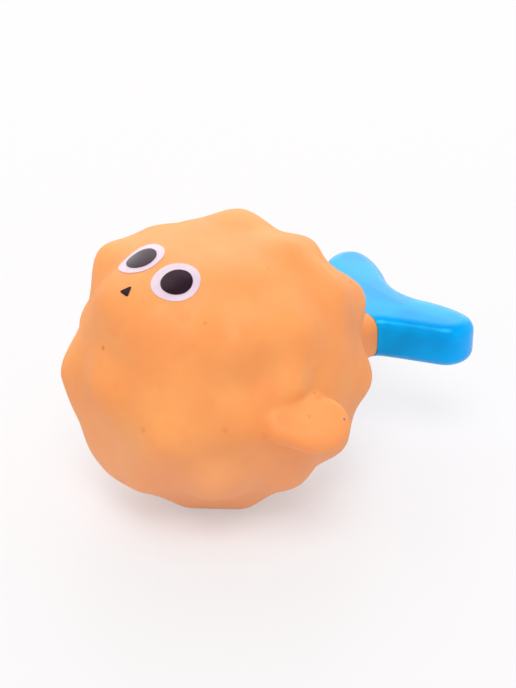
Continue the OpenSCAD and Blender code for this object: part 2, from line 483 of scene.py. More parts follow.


# Marks on the body, where the photograph shows them: a dark orange dot, a blue speck of paint, faint soft
# spots of darker orange and small brown dots
FLECKS = (
    Fleck((-1.8, -33.2, 49.5), 0.85, "#dd7420"),
    Fleck((44.1, 4.4, 38.1), 0.45, "#2f6a9c", 0.9),
    # Faint, soft spots of a slightly darker orange
    Fleck((19.2, -18.3, 60.9), 0.8, "#d8793a", 0.4),
    Fleck((16.0, -34.4, 35.6), 1.1, "#ea7833", 0.35),
    Fleck((30.6, -21.0, 37.9), 1.1, "#ea7833", 0.35),
    Fleck((15.3, 3.5, 66.8), 0.4, "#d8793a", 0.4),
    Fleck((35.3, 2.2, 41.8), 0.5, "#b5713a", 0.5),
    Fleck((40.2, -3.2, 39.9), 0.4, "#b5713a", 0.5),
)


class Finish:
    """A finish, whose material has one shader over patterns in Object coordinates."""

    name: str

    def make(self) -> bpy.types.Material:
        """Build the material.

        Returns:
            The finished material.
        """
        material, tree = blank_material(self.name)
        place = add_node(tree, "TexCoord").outputs["Object"]
        shader = add_node(tree, "BsdfPrincipled", self.sockets(tree, place))
        add_node(tree, "OutputMaterial", {"Surface": shader.outputs[0]})
        return material

    def sockets(self, tree: bpy.types.NodeTree, place: bpy.types.NodeSocket) -> dict[str, object]:
        """Work out what goes into the shader.

        Args:
            tree: the material's node tree.
            place: the Object coordinates.

        Returns:
            The shader's socket names with their values or with the sockets that feed them.
        """
        raise NotImplementedError


@dataclass(frozen=True)
class MattVinyl(Finish):
    """Soft PVC, cast in a rotating mould and left unpainted.

    The cast skin is satin and faintly cloudy, glows a little through its thin wall, and keeps the mould's
    fine blasted grain, which is drawn coarser than it is so that it shows. Towards the belly it is painted
    paler and pinker: painted light, standing in for the light that the white table bounces and reflects.

    Attributes:
        name: the material's name.
        colour: the skin's sRGB hex colour.
        pale: the colour of its clouds.
        deep: the colour of its streaks.
        belly: the paler, pinker colour that it turns to towards the belly, painted light from the white
            table.
        painted_bounce_share: how far it turns to it.
        painted_bounce_mm: the heights where it begins to turn and where it stops, in millimetres.
        clouds: the clouds.
        streaks: the streaks.
        grain_mm: how far the grain's bumps lie apart, in millimetres.
        dents_mm: how far the shallow dents lie apart, in millimetres.
        dents_share: the dents' height as a share of the grain's.
        relief: how much of the relief shows.
        relief_mm: the relief's height in millimetres.
        gloss: the roughness between the clouds and in them.
        slant: from where to where the shine fades as the skin turns away from the eye.
        shine: the shine's level before and after that.
        flecks: the specks on it.
    """

    name: str = "soft PVC, rotation-cast, matt"
    colour: str = "#f6994e"
    pale: str = "#f8a155"
    deep: str = "#f4954a"
    # Painted light: the belly is painted paler and pinker for the table's bounce and reflection
    belly: str = "#f6a876"
    painted_bounce_share: float = 0.65
    painted_bounce_mm: tuple[float, float] = (40.0, 14.0)
    clouds: Clouds = Clouds(16.0, 0.35, 0.7, 3.0, 0.45)
    streaks: Clouds = Clouds(6.4, 0.5, 0.9)
    grain_mm: float = 0.35
    dents_mm: float = 5.0
    dents_share: float = 1.5
    relief: float = 0.25
    relief_mm: float = 0.04
    gloss: tuple[float, float] = (0.5, 0.6)
    slant: tuple[float, float] = (0.65, 0.95)
    shine: tuple[float, float] = (0.6, 0.1)
    flecks: tuple[Fleck, ...] = FLECKS

    def sockets(self, tree: bpy.types.NodeTree, place: bpy.types.NodeSocket) -> dict[str, object]:
        """Work out what goes into the shader.

        Args:
            tree: the material's node tree.
            place: the Object coordinates.

        Returns:
            The shader's socket names with their values or with the sockets that feed them.
        """
        colour, clouds = self.clouds.lay(tree, place, linear(self.colour), self.pale)
        colour = self.streaks.lay(tree, place, colour, self.deep)[0]
        # Painted light: paler and pinker towards the belly, for the bounce and reflection of the white table
        rise = add_node(tree, "SeparateXYZ", {"Vector": place}).outputs["Z"]
        start, full = (height * MM for height in self.painted_bounce_mm)
        colour = lay_over(tree, colour, self.belly, rise, start, full, self.painted_bounce_share)
        for fleck in self.flecks:
            colour = fleck.lay(tree, place, colour)
        grain = add_node(
            tree, "TexNoise", {"Vector": place, "Scale": 1 / (self.grain_mm * MM), "Detail": 2.0}
        ).outputs[0]
        dents = add_node(
            tree, "TexNoise", {"Vector": place, "Scale": 1 / (self.dents_mm * MM), "Detail": 1.0}
        ).outputs[0]
        relief = add_node(
            tree, "Math", {0: dents, 1: self.dents_share, 2: grain}, operation="MULTIPLY_ADD"
        ).outputs[0]
        bump = add_node(
            tree, "Bump", {"Height": relief, "Strength": self.relief, "Distance": self.relief_mm * MM}
        )
        smooth, rough = self.gloss
        gloss = add_node(tree, "MapRange", {"Value": clouds, "To Min": smooth, "To Max": rough})
        # Seen along the skin, the grain hides most of its own shine
        facing = add_node(tree, "LayerWeight", {"Blend": 0.5}).outputs["Facing"]
        shine = add_node(
            tree, "MapRange",
            {
                "Value": facing, "From Min": self.slant[0], "From Max": self.slant[1],
                "To Min": self.shine[0], "To Max": self.shine[1],
            },
        )
        return {
            "Base Color": colour, "Roughness": gloss.outputs["Result"], "Normal": bump.outputs[0], "IOR": 1.5,
            "Specular IOR Level": shine.outputs["Result"], "Subsurface Weight": 0.35,
            "Subsurface Radius": (1.0, 0.42, 0.18), "Subsurface Scale": 3.0 * MM,
        }


@dataclass(frozen=True)
class GlossVinyl(Finish):
    """Harder PVC, moulded in a polished tool, so that it reflects the room in a soft, clear shine.

    Attributes:
        name: the material's name.
        colour: its sRGB hex colour.
        deep: the colour of its clouds.
        shine: the colour of its shine.
        clouds: the clouds.
        ripple: the slight waves of the cooled wall.
        gloss: the roughness between the clouds and in them.
    """

    name: str = "PVC, moulded, polished"
    colour: str = "#00a8f8"
    deep: str = "#009ae6"
    shine: str = "#4cc0ff"
    clouds: Clouds = Clouds(12.0, 0.45, 0.65, 2.0, 0.4)
    ripple: Relief = Relief(3.0, 0.08, 0.12)
    gloss: tuple[float, float] = (0.2, 0.3)

    def sockets(self, tree: bpy.types.NodeTree, place: bpy.types.NodeSocket) -> dict[str, object]:
        """Work out what goes into the shader.

        Args:
            tree: the material's node tree.
            place: the Object coordinates.

        Returns:
            The shader's socket names with their values or with the sockets that feed them.
        """
        colour, clouds = self.clouds.lay(tree, place, linear(self.colour), self.deep)
        smooth, rough = self.gloss
        gloss = add_node(tree, "MapRange", {"Value": clouds, "To Min": smooth, "To Max": rough})
        return {
            "Base Color": colour, "Roughness": gloss.outputs["Result"],
            "Normal": self.ripple.normal(tree, place), "IOR": 1.5,
            "Specular IOR Level": 1.0, "Specular Tint": linear(self.shine),
            "Subsurface Weight": 0.1, "Subsurface Radius": (0.1, 0.5, 1.0), "Subsurface Scale": 1.0 * MM,
        }


@dataclass(frozen=True)
class PadInk(Finish):
    """Two-part ink, printed on the vinyl with a silicone pad: an even gloss film.

    Attributes:
        name: the material's name.
        colour: its sRGB hex colour.
        second: the colour where the film lies thicker.
        shine: the colour of its shine.
        roughness: the film's roughness.
        film: the patches of thicker film.
        peel: the film's orange peel.
    """

    name: str
    colour: str
    second: str
    shine: str = "#ffffff"
    roughness: float = 0.25
    film: Clouds = Clouds(2.5, 0.4, 0.7, 3.0)
    peel: Relief = Relief(0.5, 0.02, 0.1)

    def sockets(self, tree: bpy.types.NodeTree, place: bpy.types.NodeSocket) -> dict[str, object]:
        """Work out what goes into the shader.

        Args:
            tree: the material's node tree.
            place: the Object coordinates.

        Returns:
            The shader's socket names with their values or with the sockets that feed them.
        """
        return {
            "Base Color": self.film.lay(tree, place, linear(self.colour), self.second)[0],
            "Roughness": self.roughness, "Normal": self.peel.normal(tree, place), "IOR": 1.5,
            "Specular IOR Level": 0.3, "Specular Tint": linear(self.shine),
        }


@dataclass(frozen=True)
class WaxyPolyethylene(Finish):
    """Polyethylene, injection-moulded: milky, waxy and slightly clouded.

    Attributes:
        name: the material's name.
        colour: its sRGB hex colour.
        second: the colour of its clouds.
        clouds: the clouds.
        grain: the tool's fine grain.
    """

    name: str = "polyethylene, injection-moulded"
    colour: str = "#ece8de"
    second: str = "#dedacd"
    clouds: Clouds = Clouds(4.0, 0.4, 0.65)
    grain: Relief = Relief(0.3, 0.02, 0.2)

    def sockets(self, tree: bpy.types.NodeTree, place: bpy.types.NodeSocket) -> dict[str, object]:
        """Work out what goes into the shader.

        Args:
            tree: the material's node tree.
            place: the Object coordinates.

        Returns:
            The shader's socket names with their values or with the sockets that feed them.
        """
        return {
            "Base Color": self.clouds.lay(tree, place, linear(self.colour), self.second)[0],
            "Roughness": 0.48, "Normal": self.grain.normal(tree, place), "IOR": 1.51,
            "Subsurface Weight": 0.2, "Subsurface Radius": (1.0, 0.95, 0.85), "Subsurface Scale": 1.0 * MM,
        }


@dataclass(frozen=True)
class RolledBrass(Finish):
    """Brass strip, cold-rolled: fine lines along the strip and a warm, slightly tarnished shine.

    Attributes:
        name: the material's name.
        colour: its sRGB hex colour.
        second: the colour of its lines.
        lines: the lines, as far apart as the rollers leave them.
        stretch: how much the pattern is drawn out into lines up the reed; less is longer.
        gloss: the roughness between the lines and in them.
    """

    name: str = "brass, cold-rolled"
    colour: str = "#cfa752"
    second: str = "#a88339"
    lines: Clouds = Clouds(0.1, 0.4, 0.7)
    stretch: float = 0.05
    gloss: tuple[float, float] = (0.25, 0.4)

    def sockets(self, tree: bpy.types.NodeTree, place: bpy.types.NodeSocket) -> dict[str, object]:
        """Work out what goes into the shader.

        Args:
            tree: the material's node tree.
            place: the Object coordinates.

        Returns:
            The shader's socket names with their values or with the sockets that feed them.
        """
        drawn = add_node(tree, "Mapping", {"Vector": place, "Scale": (1.0, 1.0, self.stretch)}).outputs[0]
        colour, lines = self.lines.lay(tree, drawn, linear(self.colour), self.second)
        smooth, rough = self.gloss
        gloss = add_node(tree, "MapRange", {"Value": lines, "To Min": smooth, "To Max": rough})
        return {"Base Color": colour, "Metallic": 1.0, "Roughness": gloss.outputs["Result"]}


def dress(piece: bpy.types.Object, material: bpy.types.Material) -> None:
    """Give a piece one material all over.

    Args:
        piece: the object to dress.
        material: its material.
    """
    if not piece.material_slots:
        piece.data.materials.append(material)
    for slot in piece.material_slots:
        slot.material = material


# The body


@dataclass(frozen=True)
class Bump:
    """A low bump on the ball.

    Attributes:
        forward: how far forward it points.
        side: how far to the fish's left it points; one off the middle has a twin on the right.
        up: how far up it points.
        height: its height as a share of the tallest.
        foot: the radius of its foot as a share of the widest.
    """

    forward: float
    side: float
    up: float
    height: float
    foot: float

    def ways(self) -> list[Vector]:
        """Return the directions of the bump and of its twin."""
        sides = (1, -1) if self.side else (1,)
        return [Vector((s * self.side, -self.forward, self.up)).normalized() for s in sides]


# Forward, side and up, then height and foot. The second one is a dip in the crown
BUMPS = tuple(Bump(*row) for row in (
    (0, 0, -1, 1, 1.4),
    (-0.02, 0, 1, -0.5, 1.3),
    (0.12, 0.94, 0.29, 0.8, 0.6),
    (0.76, 0.17, 0.62, 0.85, 0.95),
    (0.54, 0.2, 0.84, 0.3, 1),
    (0.4, 0.7, 0.6, 1, 0.85),
    (-0.42, 0.28, 0.86, 0.52, 0.75),
    (-0.79, 0, 0.61, 0.6, 0.65),
    (0, 0.81, 0.58, 0.7, 0.9),
    (-0.58, 0.55, 0.6, 0.6, 0.85),
    (-0.88, 0.36, 0.34, 1, 0.9),
    (-0.74, 0.66, -0.12, 0.75, 0.85),
    (0.85, 0.52, -0.06, 0.85, 0.9),
    (0.86, 0.36, -0.36, 0.5, 0.8),
    (0.45, 0.88, 0.08, 0.6, 0.85),
    (0.97, 0, 0.12, 0.5, 0.8),
    (0.8, 0.17, -0.57, 0.85, 0.9),
    (0.55, 0.68, -0.48, 0.7, 0.85),
    (-0.02, 0.82, -0.57, 0.6, 0.85),
    (-0.49, 0.7, -0.52, 0.75, 0.8),
    (-0.8, 0.2, -0.57, 0.7, 0.85),
    (0.16, 0.5, -0.85, 0.6, 0.8),
    (0.45, 0.22, -0.86, 0.6, 0.9),
    (-0.4, 0.36, -0.84, 0.5, 0.8),
))


@dataclass
class Flipper:
    """A flipper: a flat pad with round ends and a scoop in its outer face, cast in one with the body."""

    reach: float = 7.2 * MM
    front_share: float = 0.72
    front_in: float = 0.8 * MM
    half_width: float = 10.9 * MM
    half_thickness: float = 5 * MM
    out: float = 3.4 * MM
    back: float = -2.9 * MM
    high: float = 0.9 * MM
    sweep: float = math.radians(-15)
    droop: float = math.radians(35)
    roll: float = math.radians(9)
    scoop_depth: float = 1.4 * MM
    scoop_way: Vector = field(default_factory=lambda: Vector((0.1, 0, 1)).normalized())
    scoop_spread: float = 0.95
    sides: int = 48
    rings: int = 32

    def build(self, ball_radius: float, centre_height: float) -> bpy.types.Object:
        """Model both flippers.

        Args:
            ball_radius: the radius of the ball that they stand on.
            centre_height: the height of the ball's centre.

        Returns:
            One object with the left and the right flipper.
        """
        start = self.reach
        deselect_all()
        bpy.ops.mesh.primitive_uv_sphere_add(segments=self.sides, ring_count=self.rings, radius=start)
        lobe = bpy.context.object
        with editing(lobe) as mesh:
            middle = max(mesh.verts, key=lambda vert: vert.co.dot(self.scoop_way))
            middle.select = True
            bmesh.update_edit_mesh(lobe.data)
            bpy.ops.transform.translate(
                value=-self.scoop_depth * start / self.half_thickness * self.scoop_way,
                use_proportional_edit=True, proportional_edit_falloff="SMOOTH",
                proportional_size=self.scoop_spread * start,
            )
            bpy.ops.mesh.select_all(action="SELECT")
            bpy.ops.transform.resize(
                value=(1, 1, self.half_thickness / start), center_override=(0, 0, 0)
            )
            # The back half, then the smaller front half
            for side, share, shift in ((1, 1, 0), (-1, self.front_share, -self.front_in)):
                select_where(lobe, mesh, Element.VERT, lambda co: co.y * side > TINY)
                bpy.ops.transform.resize(value=(share, share, 1), center_override=(0, 0, 0))
                bpy.ops.transform.translate(
                    value=(shift, side * (self.half_width - share * self.reach), 0)
                )
            bpy.ops.mesh.select_all(action="SELECT")
            bpy.ops.transform.rotate(value=self.roll, orient_axis="Z", center_override=(0, 0, 0))
        lobe.rotation_euler = (0, self.droop, self.sweep)
        lobe.location = (ball_radius + self.out, self.back, centre_height + self.high)
        settle(lobe)
        finish_with(lobe, "MIRROR", use_mirror_merge=False)
        return lobe


@dataclass
class Body:
    """The hollow body: bumpy ball, flippers, neck, spigot and the hole in the belly.

    Attributes:
        neck_corner: the radius of the neck's long edges.
        corner_share: how much of an inset comes off that radius.
        grain: the size of the cells in which its pieces grow together.
        skin_detail: how many times the skin's ball is divided, and hollow_detail the hollow's.
        smooth_share: how far each round of smoothing goes.
        skin: the body once it is built.
    """

    ball_radius: float = 35.25 * MM
    centre_height: float = 35.5 * MM
    wall: float = 2.2 * MM
    bump_height: float = 5 * MM
    bump_foot: float = 15 * MM
    belly_thickness: float = 3.2 * MM
    recess_radius: float = 8.1 * MM
    recess_depth: float = 1.4 * MM
    hole_radius: float = 6.1 * MM
    neck_width: float = 20 * MM
    neck_height: float = 12 * MM
    neck_from: float = 17.6 * MM
    neck_to: float = 43.95 * MM
    neck_middle: float = 29.7 * MM
    neck_corner: float = 3.4 * MM
    corner_share: float = 0.6
    socket_wall: float = 2.2 * MM
    spigot_to: float = 51 * MM
    spigot_clear: float = 0.15 * MM
    grain: float = 0.7 * MM
    skin_detail: int = 6
    hollow_detail: int = 5
    smooth_share: float = 0.5
    smooth_rounds: int = 6
    flipper: Flipper = field(default_factory=Flipper)
    finish: MattVinyl = MattVinyl()
    skin: bpy.types.Object | None = None

    @property
    def centre(self) -> Vector:
        """The ball's centre."""
        return Vector((0, 0, self.centre_height))

    def bumpy_ball(self, name: str, lift: float, detail: int) -> bpy.types.Object:
        """Model the ball and raise its bumps.

        Args:
            name: the ball's name.
            lift: how far its surface lies outside the skin; less than 0 for the hollow.
            detail: how many times the first solid is divided.

        Returns:
            The ball.
        """
        deselect_all()
        bpy.ops.mesh.primitive_ico_sphere_add(
            subdivisions=detail, radius=self.ball_radius + lift, location=self.centre
        )
        ball = bpy.context.object
        ball.name = name
        settle(ball)
        places = kdtree.KDTree(len(ball.data.vertices))
        for vert in ball.data.vertices:
            places.insert(vert.co, vert.index)
        places.balance()
        with editing(ball):
            for bump in BUMPS:
                for way in bump.ways():
                    index = places.find(self.centre + way * (self.ball_radius + lift))[1]
                    bpy.ops.mesh.select_all(action="DESELECT")
                    mesh = bmesh.from_edit_mesh(ball.data)
                    mesh.verts.ensure_lookup_table()
                    mesh.verts[index].select = True
                    bmesh.update_edit_mesh(ball.data)
                    bpy.ops.transform.translate(
                        value=way * self.bump_height * bump.height,
                        use_proportional_edit=True, proportional_edit_falloff="SMOOTH",
                        proportional_size=self.bump_foot * bump.foot,
                    )
        return ball

    def cross_bar(self, name: str, start: float, end: float, inset: float) -> bpy.types.Object:
        """Model a stretch of the neck or of its spigot.

        Args:
            name: the stretch's name.
            start: where it begins along Y.
            end: where it ends.
            inset: how far it is set in from the neck's sides.

        Returns:
            The bar.
        """
        half = Vector((self.neck_width / 2 - inset, 0, self.neck_height / 2 - inset))
        low = Vector((0, start, self.neck_middle)) - half
        high = Vector((0, end, self.neck_middle)) + half
        return rounded_bar(name, low, high, self.neck_corner - inset * self.corner_share, Axis.Y)

    def build(self) -> bpy.types.Object:
        """Model and dress the body.

        Returns:
            The body shell.
        """
        ball = self.bumpy_ball("body_skin", 0, self.skin_detail)
        flippers = self.flipper.build(self.ball_radius, self.centre_height)
        neck = self.cross_bar("neck", self.neck_from, self.neck_to + self.wall, 0)
        spigot = self.cross_bar("spigot", self.neck_to - self.wall, self.spigot_to, self.socket_wall)
        skin = join("body_skin", ball, flippers, neck, spigot)
        # The mould's own rounding: pieces grow together and every inner corner gets a soft fillet
        finish_with(skin, "REMESH", mode="VOXEL", voxel_size=self.grain, use_smooth_shade=True)
        finish_with(skin, "SMOOTH", factor=self.smooth_share, iterations=self.smooth_rounds)
        cut_off(skin, 0, Axis.Z)
        hollow = self.bumpy_ball("hollow", -self.wall, self.hollow_detail)
        cut_off(hollow, self.belly_thickness, Axis.Z)
        with editing(hollow, Element.FACE):
            bpy.ops.mesh.select_all(action="SELECT")
            bpy.ops.mesh.flip_normals()
        skin = join("body_skin", skin, hollow)
        # The neck is cut square against the tail's root, round the spigot
        collar = self.cross_bar("collar", self.neck_to, self.neck_to + 2 * self.wall, -self.wall)
        cut_away(collar, self.cross_bar(
            "sleeve", self.neck_to - self.wall, self.spigot_to, self.socket_wall - self.spigot_clear
        ))
        recess = drum("recess", self.recess_radius, -self.wall, self.recess_depth)
        hole = drum("hole", self.hole_radius, -self.wall, self.belly_thickness + self.wall)
        cut_away(skin, collar, recess, hole)
        shade(skin)
        dress(skin, self.finish.make())
        self.skin = skin
        return skin


# The tail


@dataclass
class Tail:
    """The glossy tail, pushed over the neck's spigot.

    Attributes:
        crown: how far the face's middle stands over its rims.
        middle_share: where that middle lies, as a share of the length.
        inner_share: the size of the crown's level part as a share of the face.
        nose_lead: how far the round nose lies further ahead, so that the root's plane cuts it off whole.
        nose_turns: the corners on the nose's quarter circle, in degrees.
        outline_steps: points for each stretch of the outline between two corners.
        shares: the outline's corners behind the root, as shares of the half span and of the length.
    """

    width: float = 20 * MM
    thickness: float = 12 * MM
    middle: float = 29.7 * MM
    root: float = 44 * MM
    length: float = 22 * MM
    span: float = 52.5 * MM
    edge: float = 3.4 * MM
    crown: float = 0.3 * MM
    nose_lead: float = 0.5 * MM
    nose_turns: tuple[int, ...] = (0, 30, 60, 90)
    outline_steps: int = 6
    middle_share: float = 0.33
    inner_share: float = 0.5
    rim_rings: int = 10
    socket_wall: float = 2.2 * MM
    socket_to: float = 51.3 * MM
    socket_gap: float = 0.3 * MM
    shares: tuple[tuple[float, float], ...] = (
        (0.49, 0.1), (0.72, 0.3), (0.91, 0.47), (0.98, 0.61), (0.99, 0.77), (0.93, 0.91),
        (0.81, 0.98), (0.62, 0.96), (0.4, 0.87), (0.2, 0.76), (0, 0.72),
    )
    finish: GlossVinyl = GlossVinyl()

    def outline(self) -> list[Vector]:
        """Draw the tail's outline as a smooth closed curve with a round nose ahead of the root.

        Returns:
            The points, going round once.
        """
        nose = self.width / 2
        turns = [math.radians(turn) for turn in self.nose_turns]
        half = [(nose * math.sin(t), self.root - self.nose_lead - nose * math.cos(t)) for t in turns]
        half += [(s * self.span / 2, self.root + t * self.length) for s, t in self.shares]
        corners = [Vector((x, y, 0)) for x, y in half]
        corners += [Vector((-p.x, p.y, 0)) for p in reversed(corners[1:-1])]
        count = len(corners)
        points = []
        # A spline through the corners, each stretch bent by the corners before and after it
        for i in range(count):
            p, q, r, s = (corners[(i + k) % count] for k in (-1, 0, 1, 2))
            for k in range(self.outline_steps):
                t = k / self.outline_steps
                points.append(0.5 * (
                    2 * q + (r - p) * t + (2 * p - 5 * q + 4 * r - s) * t * t
                    + (3 * q - p - 3 * r + s) * t * t * t
                ))
        return points

    def slab(self) -> bpy.types.Object:
        """Model the slab: the outline raised, its rims rounded ring by ring, the lower half mirrored.

        Returns:
            The slab, with its nose still on.
        """
        points = self.outline()
        deselect_all()
        bpy.ops.mesh.primitive_circle_add(vertices=len(points), radius=self.span / 2, fill_type="NGON")
        slab = bpy.context.object
        slab.name = "tail_fluke"
        for vert, point in zip(slab.data.vertices, points):
            vert.co = point
        half = self.thickness / 2
        turns = [math.radians(90 * k / self.rim_rings) for k in range(self.rim_rings + 1)]
        with editing(slab, Element.FACE):
            bpy.ops.mesh.select_all(action="SELECT")
            bpy.ops.mesh.normals_make_consistent(inside=False)
            bpy.ops.mesh.extrude_region_move(TRANSFORM_OT_translate={"value": (0, 0, half - self.edge)})
            for before, after in zip(turns, turns[1:]):
                inward = self.edge * (math.cos(before) - math.cos(after))
                upward = self.edge * (math.sin(after) - math.sin(before))
                bpy.ops.mesh.inset(thickness=inward, depth=upward)
            # A slight crown on the face
            bpy.ops.mesh.extrude_region_move(TRANSFORM_OT_translate={"value": (0, 0, self.crown)})
            middle = (0, self.root + self.middle_share * self.length, half + self.crown)
            bpy.ops.transform.resize(value=(self.inner_share, self.inner_share, 1), center_override=middle)
        with editing(slab, Element.FACE) as mesh:
            select_where(slab, mesh, Element.FACE, lambda co: co.z < TINY)
            bpy.ops.mesh.delete(type="ONLY_FACE")
        finish_with(slab, "MIRROR", use_axis=(False, False, True), merge_threshold=TINY)
        slab.location.z = self.middle
        settle(slab)
        return slab

    def build(self, body: Body) -> bpy.types.Object:
        """Model and dress the tail.

        Args:
            body: the body, whose spigot the tail's socket fits.

        Returns:
            The tail.
        """
        tail = self.slab()
        inset = self.socket_wall - self.socket_gap
        cut_away(tail, body.cross_bar("socket", self.root - self.socket_wall, self.socket_to, inset))
        # The root is cut last, because a boolean cut through its flat face leaves stray points on the rim of
        # the socket, and others in each run
        cut_off(tail, self.root, Axis.Y)
        shade(tail)
        dress(tail, self.finish.make())
        return tail


# The face


@dataclass(frozen=True)
class Print:
    """A film of ink that follows the skin.

    Attributes:
        name: the CAD node that it stands for.
        way: where on the ball it lies.
        radius: its radius, or for the beak the distance from its middle to its corners.
        ink: what it is printed with.
        lift: how high its lower face lies over the skin.
        film: its thickness.
        fall: how far from the ball's centre it starts on its way down to the skin.
        crease: the angle from which its faces keep a crease.
        sides: the sides of its outline; a few dozen make it round.
        rings: how many rings of faces lie inside its rim.
        ring_share: their width as a share of the radius.
        corner_share: how far its corners are rounded, as a share of the radius.
    """

    name: str
    way: Vector
    radius: float
    ink: PadInk
    lift: float = 0.05 * MM
    film: float = 0.12 * MM
    fall: float = 50 * MM
    crease: float = math.radians(50)
    sides: int = 72
    rings: int = 5
    ring_share: float = 0.16
    corner_share: float = 0

    def build(self, body: Body) -> bpy.types.Object:
        """Model the film.

        Args:
            body: the body that it is printed on.

        Returns:
            The film.
        """
        deselect_all()
        bpy.ops.mesh.primitive_circle_add(
            vertices=self.sides, radius=self.radius, fill_type="NGON",
            location=body.centre + self.way * self.fall, rotation=self.way.to_track_quat("Z", "Y").to_euler(),
        )
        film = bpy.context.object
        film.name = self.name + "_film"
        with editing(film):
            bpy.ops.mesh.select_all(action="SELECT")
            if self.corner_share:
                bpy.ops.mesh.bevel(
                    offset=self.corner_share * self.radius, segments=CORNER_STEPS, affect="VERTICES"
                )
            bpy.ops.mesh.select_mode(type=Element.FACE.name)
            bpy.ops.mesh.select_all(action="SELECT")
            for _ in range(self.rings):
                bpy.ops.mesh.inset(thickness=self.ring_share * self.radius)
            bpy.ops.mesh.poke()
        finish_with(
            film, "SHRINKWRAP", target=body.skin, wrap_method="PROJECT", use_project_z=True,
            use_negative_direction=True, use_positive_direction=False, offset=self.lift + self.film,
        )
        finish_with(film, "SOLIDIFY", thickness=self.film, offset=-1)
        settle(film)
        shade(film, self.crease)
        return film


@dataclass
class Face:
    """The printed face: two eyes, each of a white and a black film, and a beak.

    Attributes:
        eye_side: how far to each side the eyes lie.
        eye_up_share: how far up they lie, as a share of the ball's radius, and beak_up_share the beak.
        pupil_lift: how high the black films lie over the skin.
        plate_shift: how far the black plate is set towards the fish's left.
    """

    eye_side: float = 6.8 * MM
    eye_up_share: float = 0.85
    beak_up_share: float = 0.72
    white_radius: float = 5.9 * MM
    pupil_radius: float = 3.85 * MM
    pupil_lift: float = 0.2 * MM
    plate_shift: float = 0.5 * MM
    beak_radius: float = 1.9 * MM
    white: PadInk = PadInk("pad ink, white", "#dec9d6", "#dac4d3")
    black: PadInk = PadInk("pad ink, black", "#1b0412", "#15030e", "#ffd8ec")

    def place(self, body: Body, side: float, up_share: float) -> Vector:
        """Say where on the ball a print lies.

        Args:
            body: the body.
            side: how far to the fish's left.
            up_share: how far up, as a share of the ball's radius.

        Returns:
            The direction from the ball's centre.
        """
        share = side / body.ball_radius
        return Vector((share, -math.sqrt(1 - share ** 2 - up_share ** 2), up_share))

    def prints(self, body: Body) -> Iterator[Print]:
        """List the films, the white ones first.

        Args:
            body: the body.

        Yields:
            The films in the order of printing.
        """
        eyes = {"left": self.eye_side, "right": -self.eye_side}
        for hand, side in eyes.items():
            way = self.place(body, side, self.eye_up_share)
            yield Print("eye_white_" + hand, way, self.white_radius, self.white)
        shift = Vector((self.plate_shift / body.ball_radius, 0, 0))
        for hand, side in eyes.items():
            way = (self.place(body, side, self.eye_up_share) + shift).normalized()
            yield Print("pupil_" + hand, way, self.pupil_radius, self.black, lift=self.pupil_lift)
        yield Print(
            "beak", self.place(body, 0, self.beak_up_share), self.beak_radius, self.black,
            sides=3, rings=1, ring_share=0.05, corner_share=0.35,
        )

    def build(self, body: Body) -> list[tuple[Print, bpy.types.Object]]:
        """Model and dress the films.

        Args:
            body: the body that they are printed on.

        Returns:
            Each print with its film.
        """
        inks = {ink: ink.make() for ink in (self.white, self.black)}
        films = [(item, item.build(body)) for item in self.prints(body)]
        for item, film in films:
            dress(film, inks[item.ink])
        return films


# The squeaker


@dataclass(frozen=True)
class Squeaker:
    """The squeaker in the belly, whose pieces stay the CAD nodes.

    Attributes:
        moulded: its plastic pieces.
        rolled: its metal pieces.
    """

    moulded: tuple[str, ...] = ("squeaker_plug", "reed_trough", "reed_clamp")
    rolled: tuple[str, ...] = ("reed",)

    def build(self, nodes: dict[str, bpy.types.Object]) -> list[bpy.types.Object]:
        """Dress the pieces.

        Args:
            nodes: the CAD nodes by name.

        Returns:
            The pieces.
        """
        pieces = []
        for names, finish in ((self.moulded, WaxyPolyethylene()), (self.rolled, RolledBrass())):
            material = finish.make()
            for name in names:
                dress(nodes[name], material)
                pieces.append(nodes[name])
        return pieces


# Studio


